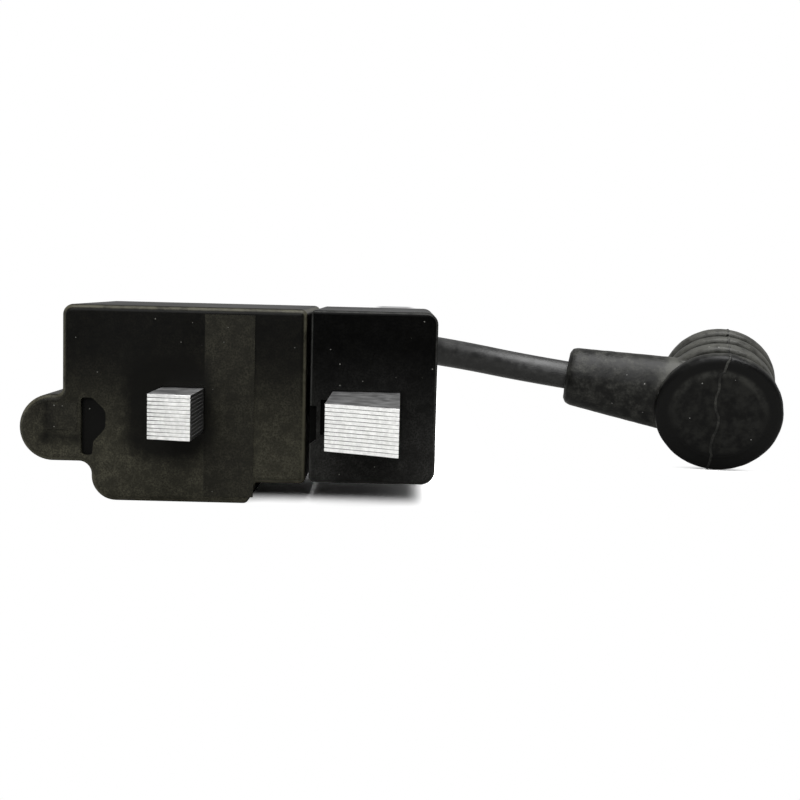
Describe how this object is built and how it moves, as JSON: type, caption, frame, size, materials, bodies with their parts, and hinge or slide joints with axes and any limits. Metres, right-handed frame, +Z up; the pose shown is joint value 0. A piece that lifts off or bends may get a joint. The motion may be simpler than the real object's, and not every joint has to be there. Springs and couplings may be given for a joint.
{
  "type": "ignition coil",
  "caption": "Small-engine ignition coil: laminated steel core with pole legs through black cases, a high tension lead and a right-angle spark plug boot.",
  "frame": {"origin": "below the middle of the rigid parts' box (core, cases, tower and grommet), on the surface the part stands on", "axes": "+X from the module case to the coil case and the lead's boot, +Y from the pole faces to the screw holes, +Z up, square to the core's sheets"},
  "size_m": [0.1219, 0.0874, 0.0277],
  "materials": {
    "module_plastic": "moulded black nylon, semi-gloss, faint olive cast",
    "coil_plastic": "moulded black nylon, glossier and darker",
    "potting_resin": "cast black epoxy, slightly wavy skin",
    "core_steel": "varnished electrical steel, ground bright at the pole faces",
    "rivet_steel": "zinc plated steel",
    "bobbin_nylon": "natural glass-filled nylon",
    "enamelled_copper": "enamelled copper wire in close turns",
    "yellow_tape": "polyester tape",
    "contact_brass": "bright brass strip",
    "board_laminate": "green glass-epoxy board",
    "capacitor_shell": "dipped film capacitor",
    "component_black": "moulded component body",
    "resistor_tan": "lacquered resistor body",
    "insulated_wire": "red insulated wire",
    "tinned_strip": "tinned copper strip",
    "lead_rubber": "smooth black rubber, slightly chalky",
    "bare_copper": "stranded bare copper",
    "boot_rubber": "moulded matte rubber with parting lines",
    "spring_steel": "bright spring wire"
  },
  "bodies": {
    "root": {"module_case": "module_plastic", "coil_case": "coil_plastic", "module_potting": "potting_resin", "coil_potting": "potting_resin", "left_leg_laminations": "core_steel", "right_leg_laminations": "core_steel", "yoke_laminations": "core_steel", "core_rivets": "rivet_steel", "mounting_bushes": "rivet_steel", "charge_bobbin": "bobbin_nylon", "charge_winding": "enamelled_copper", "trigger_winding": "enamelled_copper", "primary_bobbin": "bobbin_nylon", "primary_winding": "enamelled_copper", "insulation_wrap": "yellow_tape", "secondary_bobbin": "bobbin_nylon", "secondary_winding": "enamelled_copper", "ht_contact_pin": "contact_brass", "circuit_board": "board_laminate", "discharge_capacitor": "capacitor_shell", "thyristor": "component_black", "diodes": "component_black", "resistors": "resistor_tan", "control_chip": "component_black", "winding_wires": "insulated_wire", "primary_links": "insulated_wire", "kill_terminal": "contact_brass", "earth_strap": "tinned_strip", "lead_grommet": "lead_rubber", "ht_lead_cover": "lead_rubber", "ht_lead_core": "bare_copper", "plug_boot": "boot_rubber", "boot_spring": "spring_steel"}
  },
  "joints": []
}
